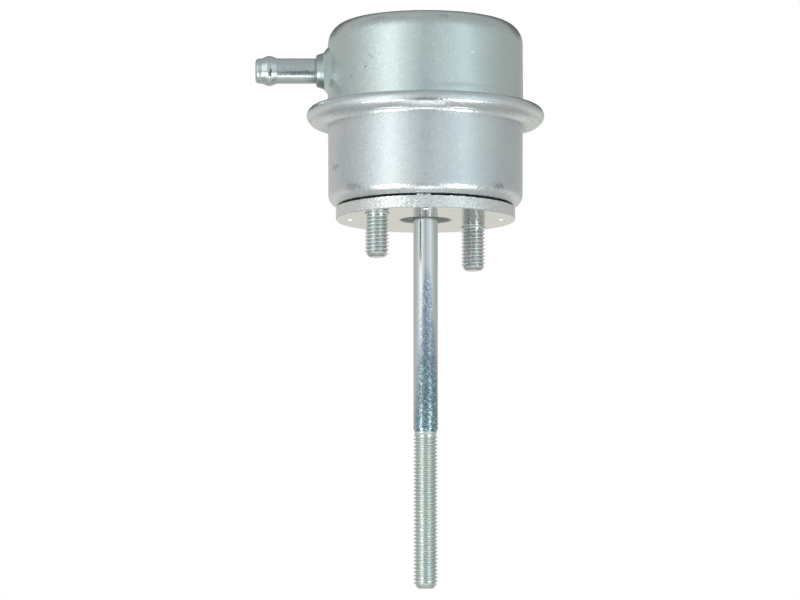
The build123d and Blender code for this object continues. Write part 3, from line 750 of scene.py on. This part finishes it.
def threadInputs(t):
    return {
        "Pitch": thread["pitch"], "Depth": thread["depth"], "Rows per pitch": thread["rowsPerPitch"],
        "Segments": thread["segments"], "End": t["end"], "Top": t["top"], "Crest": t["crest"],
        "Neck": t["neck"], "Fade": t["fade"], "Point": t["point"], "Point width": t["pointWidth"],
        "Point round": t["pointRound"],
    }


def buildThreadTree(name, material):
    # a helical grid: its rows run along the thread, so crest and root are edges of the mesh
    t = bpy.data.node_groups.new(name, "GeometryNodeTree")
    t.interface.new_socket("Geometry", in_out="OUTPUT", socket_type="NodeSocketGeometry")
    for label in threadInputs(rod):
        t.interface.new_socket(label, in_out="INPUT", socket_type=floatSocket)
    i = node(t, "NodeGroupInput").outputs

    def calc(op, a, b=None, clamp=False):
        return maths(t, op, a, b, clamp)

    pitches = calc("DIVIDE", calc("SUBTRACT", i["Top"], i["End"]), i["Pitch"])
    count = calc("MULTIPLY", calc("ADD", pitches, 1.0), i["Rows per pitch"])
    rows = calc("ADD", calc("CEIL", count), 1.0)
    grid = node(t, "GeometryNodeMeshGrid")
    feed(t, grid.inputs["Vertices X"], calc("ADD", i["Segments"], 1.0))
    feed(t, grid.inputs["Vertices Y"], rows)
    index = node(t, "GeometryNodeInputIndex").outputs[0]
    column = calc("FLOOR", calc("DIVIDE", calc("ADD", index, 0.5), rows))
    row = calc("SUBTRACT", index, calc("MULTIPLY", column, rows))
    share = calc("DIVIDE", column, i["Segments"])

    # each column starts a little higher than the one before, one pitch in a full turn
    rise = calc("ADD", calc("DIVIDE", row, i["Rows per pitch"]), calc("SUBTRACT", share, 1.0))
    height = calc("ADD", i["End"], calc("MULTIPLY", rise, i["Pitch"]))
    height = calc("MAXIMUM", calc("MINIMUM", height, i["Top"]), i["End"])
    above = calc("SUBTRACT", height, i["End"])
    turns = calc("SUBTRACT", calc("DIVIDE", above, i["Pitch"]), share)
    phase = calc("FRACT", calc("ADD", turns, thread["turnsAhead"]))
    saw = calc("ABSOLUTE", calc("SUBTRACT", calc("MULTIPLY", phase, 2.0), 1.0))
    flankShare = 1 - thread["rootFlat"] - thread["crestFlat"]
    flank = calc("DIVIDE", calc("SUBTRACT", saw, thread["rootFlat"]), flankShare, clamp=True)
    cut = calc("SUBTRACT", i["Crest"], calc("MULTIPLY", calc("SUBTRACT", 1.0, flank), i["Depth"]))

    # the thread runs out into the neck at its top and is pointed at its end
    full = calc("DIVIDE", calc("SUBTRACT", i["Top"], height), i["Fade"], clamp=True)
    eased = calc("MULTIPLY", calc("MULTIPLY", full, full), calc("SUBTRACT", 3.0, calc("MULTIPLY", full, 2.0)))
    radius = calc("ADD", i["Neck"], calc("MULTIPLY", eased, calc("SUBTRACT", cut, i["Neck"])))
    bow = calc("POWER", calc("DIVIDE", above, i["Point"], clamp=True), i["Point round"])
    endRadius = calc("SUBTRACT", i["Crest"], i["Point width"])
    radius = calc("MINIMUM", radius, calc("ADD", endRadius, calc("MULTIPLY", bow, i["Point width"])))
    angle = calc("MULTIPLY", share, 2 * math.pi)
    spot = node(t, "ShaderNodeCombineXYZ")
    feed(t, spot.inputs[0], calc("MULTIPLY", calc("MULTIPLY", radius, calc("COSINE", angle)), mm))
    feed(t, spot.inputs[1], calc("MULTIPLY", calc("MULTIPLY", radius, calc("SINE", angle)), mm))
    feed(t, spot.inputs[2], calc("MULTIPLY", height, mm))
    put = node(t, "GeometryNodeSetPosition")
    feed(t, put.inputs["Geometry"], grid.outputs["Mesh"])
    feed(t, put.inputs["Position"], spot.outputs[0])
    note = node(t, "GeometryNodeStoreNamedAttribute", data_type="FLOAT", domain="POINT")
    feed(t, note.inputs["Geometry"], put.outputs[0])
    note.inputs["Name"].default_value = "groove"
    groove = calc("DIVIDE", calc("SUBTRACT", i["Crest"], radius), i["Depth"], clamp=True)
    feed(t, note.inputs["Value"], groove)
    weld = node(t, "GeometryNodeMergeByDistance")
    feed(t, weld.inputs["Geometry"], note.outputs[0])
    weld.inputs["Distance"].default_value = builtSeam["weld"] * mm
    real = node(t, "GeometryNodeRealizeInstances")
    feed(t, real.inputs[0], weld.outputs[0])
    paint = node(t, "GeometryNodeSetMaterial")
    feed(t, paint.inputs["Geometry"], real.outputs[0])
    paint.inputs["Material"].default_value = material
    feed(t, node(t, "NodeGroupOutput").inputs[0], paint.outputs[0])
    return t


threadTree = buildThreadTree("rolledThread", rodThreadZinc)


def threadMesh(values):
    carrier = bpy.data.objects.new("threadCarrier", bpy.data.meshes.new("threadCarrier"))
    scene.collection.objects.link(carrier)
    modifier = carrier.modifiers.new("thread", "NODES")
    modifier.node_group = threadTree
    for item in threadTree.interface.items_tree:
        if item.in_out == "INPUT":
            modifier[item.identifier] = float(values[item.name])
    bpy.context.view_layer.update()
    graph = bpy.context.evaluated_depsgraph_get()
    mesh = bpy.data.meshes.new_from_object(carrier.evaluated_get(graph))
    bpy.data.objects.remove(carrier)
    return mesh


def addRings(bm, profile, materialIndex):
    # joins rings of the given radius and height in millimetres; a radius of 0 is a single point
    segments = thread["segments"]
    rings = []
    for radius, height in profile:
        r = radius * mm
        angles = [2 * math.pi * k / segments for k in range(segments)] if radius else [0]
        spots = [(r * math.cos(angle), r * math.sin(angle), height * mm) for angle in angles]
        rings.append([bm.verts.new(spot) for spot in spots])
    for low, high in zip(rings, rings[1:]):
        for k in range(segments):
            n = (k + 1) % segments
            corners = [low[k % len(low)], low[n % len(low)], high[n % len(high)], high[k % len(high)]]
            corners = list(dict.fromkeys(corners))
            if len(corners) > 2:
                bm.faces.new(corners).material_index = materialIndex


def startWithThread(t):
    # the thread and the flat end that closes it
    bm = bmesh.new()
    bm.from_mesh(threadMesh(threadInputs(t)))
    for face in bm.faces:
        face.material_index = 0
    addRings(bm, ((0, t["end"]), (t["crest"] - t["pointWidth"], t["end"])), 0)
    return bm


def addTurnedPiece(bm, name, materials, body, slot, nodeName, move=(0, 0, 0)):
    closeSeams(bm, builtSeam)
    bmesh.ops.recalc_face_normals(bm, faces=bm.faces)
    bmesh.ops.translate(bm, verts=bm.verts, vec=Vector(move) * mm)
    shadeSmooth(bm)
    openEdges = sum(1 for edge in bm.edges if len(edge.link_faces) != 2)
    piece = addPiece(bm, name, materials, body, slot, nodeName)
    print(name, len(piece.data.polygons), "faces, open edges", openEdges)


def buildRod():
    bm = startWithThread(rod)
    addRings(bm, ((rod["neck"], rod["top"]), *rod["outline"]), 1)
    addTurnedPiece(bm, "threadedRod", (rodThreadZinc, rodZinc), "rod_assembly", "rod_zinc", "rod")


def buildStud(name, nodeName):
    low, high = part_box(nodeName)
    centre = ((low.x + high.x) / 2 / mm, (low.y + high.y) / 2 / mm, 0)
    bm = startWithThread(stud)
    addRings(bm, ((stud["neck"], stud["top"]), *stud["outline"]), 0)
    addTurnedPiece(bm, name, (studZinc,), "casing", "stud_zinc", nodeName, centre)


buildRod()
buildStud("studFront", "stud_front")
buildStud("studRear", "stud_rear")
print("rod and studs threaded")

# for the spring and the diaphragm, the share of its height each keeps when the rod slides out by the stroke,
# measured from the end that stays in the casing, is worked out and printed
stroke = 15.0
flexing = (
    {"node": "return_spring", "piece": "coilSpring", "finish": springSteel,
     "slot": "spring_steel", "stays": 8.2},
    {"node": "diaphragm", "piece": "rollingDiaphragm", "finish": diaphragmRubber,
     "slot": "diaphragm_rubber", "stays": 42.8},
)
for part in flexing:
    piece = weldedCopy(part["node"], part["piece"], part["finish"], "casing", part["slot"])
    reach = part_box(part["node"])[1].z / mm - part["stays"]
    keep = 1 - stroke / reach
    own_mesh(piece)
    print(part["piece"], "keeps", round(keep, 3), "of its height")

# metal pressed out of the weld, seen as a light spot in the gap over the plate
weldBead = {
    "at": (-0.7, -34.8, 5.3), "half": (3.1, 0.9, 0.55), "meridians": 24, "rings": 12, "uneven": 0.12,
    "waves": (5.0, 4.0), "offset": 1.0,
}


def addWeldBead(w):
    bm = bmesh.new()
    bmesh.ops.create_uvsphere(bm, u_segments=w["meridians"], v_segments=w["rings"], radius=1.0)
    along, up = w["waves"]
    for vertex in bm.verts:
        wave = w["uneven"] * math.sin(along * vertex.co.x + w["offset"]) * math.cos(up * vertex.co.z)
        share = 1.0 + wave
        vertex.co = Vector([(c + h * v * share) * mm for c, h, v in zip(w["at"], w["half"], vertex.co)])
    for face in bm.faces:
        face.smooth = True
    addPiece(bm, "weldBead", (plateZinc,), "casing", "plate_zinc")


addWeldBead(weldBead)
print("weld bead added")

# every CAD node has its own finish, the hidden ones too
nodeFinish = {
    "upper_can": upperZinc, "lower_can": lowerZinc, "hose_nipple": nippleZinc, "nipple_braze": brazeZinc,
    "mounting_plate": plateZinc, "stud_front": studZinc, "stud_rear": studZinc, "rod": rodZinc,
    "diaphragm": diaphragmRubber, "return_spring": springSteel, "guide_bush": bushBronze,
    "dust_ring": sealRubber,
}
for name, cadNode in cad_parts.items():
    cadNode.data.materials.clear()
    cadNode.data.materials.append(nodeFinish.get(name, innerZinc))
print("inner pieces finished")
